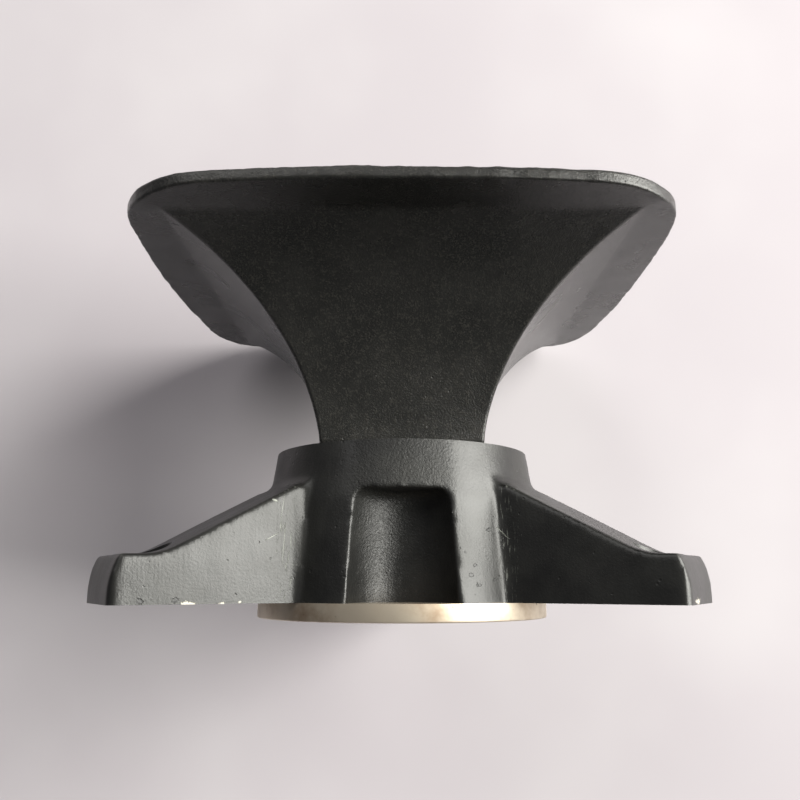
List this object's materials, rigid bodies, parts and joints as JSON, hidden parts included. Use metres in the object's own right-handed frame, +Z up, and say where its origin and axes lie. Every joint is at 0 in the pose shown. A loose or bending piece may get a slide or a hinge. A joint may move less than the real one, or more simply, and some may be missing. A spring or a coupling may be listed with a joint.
{
  "type": "bollard post",
  "caption": "Deck bollard: square flared head on a hollow-sided horn, in the collar of a three-legged cast base with a machined locating disc, for making fast a rope.",
  "frame": {"origin": "centre of the three deck bolts, in the plane of the base's underside", "axes": "+Z up, out of the deck; the front pocket faces -Y, one leg points along +Y"},
  "size_m": [0.2198, 0.217, 0.1447],
  "materials": {
    "head_paint": "matt black paint over sand-cast iron",
    "base_paint": "semi-gloss black paint over cast iron",
    "machined_disc": "bare turned metal with light brown staining",
    "zinc_steel": "zinc-plated steel",
    "ground_steel": "ground steel",
    "seal_rubber": "black nitrile rubber"
  },
  "bodies": {
    "root": {"head_casting": "head_paint", "base_casting": "base_paint", "locating_disc": "machined_disc", "tie_bolt": "zinc_steel", "tie_washer": "zinc_steel", "lock_washer": "zinc_steel", "dowel_pins": "ground_steel", "seat_gasket": "seal_rubber", "neck_o_ring": "seal_rubber", "disc_o_ring": "seal_rubber", "disc_screws": "zinc_steel"}
  },
  "joints": []
}
